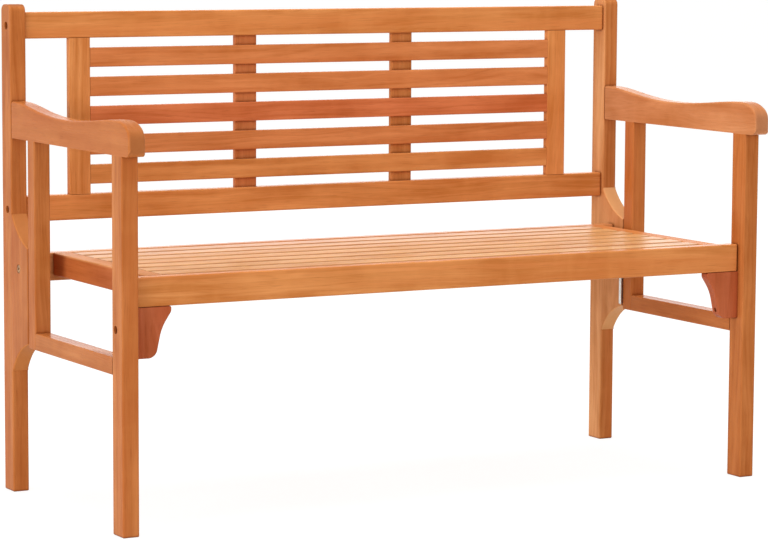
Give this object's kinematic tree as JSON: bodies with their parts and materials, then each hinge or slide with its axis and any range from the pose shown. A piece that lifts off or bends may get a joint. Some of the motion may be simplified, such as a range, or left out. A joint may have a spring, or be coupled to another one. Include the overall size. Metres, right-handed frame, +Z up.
{
  "type": "folding garden bench",
  "caption": "Folding garden bench in oiled hardwood with a slatted back, a slatted seat that lifts up against it, curved arms and hinged side frames.",
  "frame": {"origin": "centre of the footprint on the floor, midway between the arm noses and the backs of the rear posts", "axes": "+X to the right seen from the front, +Y to the back, +Z up"},
  "size_m": [1.28, 0.552, 0.874],
  "materials": {
    "oiled_hardwood": "oiled satin",
    "zinc_steel": "zinc plated"
  },
  "bodies": {
    "back_frame": {"back_batten_left": "oiled_hardwood", "back_batten_right": "oiled_hardwood", "back_batten_screws": "zinc_steel", "back_bottom_rail": "oiled_hardwood", "back_rail_screws": "zinc_steel", "back_slat_1": "oiled_hardwood", "back_slat_2": "oiled_hardwood", "back_slat_3": "oiled_hardwood", "back_slat_4": "oiled_hardwood", "back_slat_5": "oiled_hardwood", "back_stile_left": "oiled_hardwood", "back_stile_right": "oiled_hardwood", "back_top_rail": "oiled_hardwood", "hinge_pins": "zinc_steel", "post_hinge_leaves": "zinc_steel", "post_hinge_screws": "zinc_steel", "post_wing_left": "oiled_hardwood", "post_wing_right": "oiled_hardwood", "rear_post_left": "oiled_hardwood", "rear_post_right": "oiled_hardwood"},
    "seat": {"pivot_bolts": "zinc_steel", "pivot_washers": "zinc_steel", "seat_batten_left": "oiled_hardwood", "seat_batten_right": "oiled_hardwood", "seat_batten_screws": "zinc_steel", "seat_front_rail": "oiled_hardwood", "seat_rear_rail": "oiled_hardwood", "seat_side_rail_left": "oiled_hardwood", "seat_side_rail_right": "oiled_hardwood", "seat_slat_1": "oiled_hardwood", "seat_slat_2": "oiled_hardwood", "seat_slat_3": "oiled_hardwood", "seat_slat_4": "oiled_hardwood", "seat_slat_5": "oiled_hardwood", "seat_slat_6": "oiled_hardwood", "seat_slat_7": "oiled_hardwood"},
    "left_side": {"arm_left": "oiled_hardwood", "arm_upright_left": "oiled_hardwood", "front_leg_left": "oiled_hardwood", "side_stretcher_left": "oiled_hardwood", "corner_bracket_left": "oiled_hardwood", "bracket_screws_left": "zinc_steel", "hinge_leaves_left": "zinc_steel", "hinge_leaf_screws_left": "zinc_steel"},
    "right_side": {"arm_right": "oiled_hardwood", "arm_upright_right": "oiled_hardwood", "front_leg_right": "oiled_hardwood", "side_stretcher_right": "oiled_hardwood", "corner_bracket_right": "oiled_hardwood", "bracket_screws_right": "zinc_steel", "hinge_leaves_right": "zinc_steel", "hinge_leaf_screws_right": "zinc_steel"}
  },
  "joints": [
    {"name": "seat_lift", "type": "hinge", "parent": "back_frame", "child": "seat", "pos_m": [0, 0.203, 0.407], "axis": [-1, 0, 0], "range_deg": [0, 91]},
    {"name": "left_side_fold", "type": "hinge", "parent": "back_frame", "child": "left_side", "pos_m": [-0.60645, 0.1597, 0.36], "axis": [0, 0, 1], "range_deg": [0, 0.25]},
    {"name": "right_side_fold", "type": "hinge", "parent": "back_frame", "child": "right_side", "pos_m": [0.60645, 0.1597, 0.36], "axis": [0, 0, -1], "range_deg": [0, 0.25]}
  ]
}
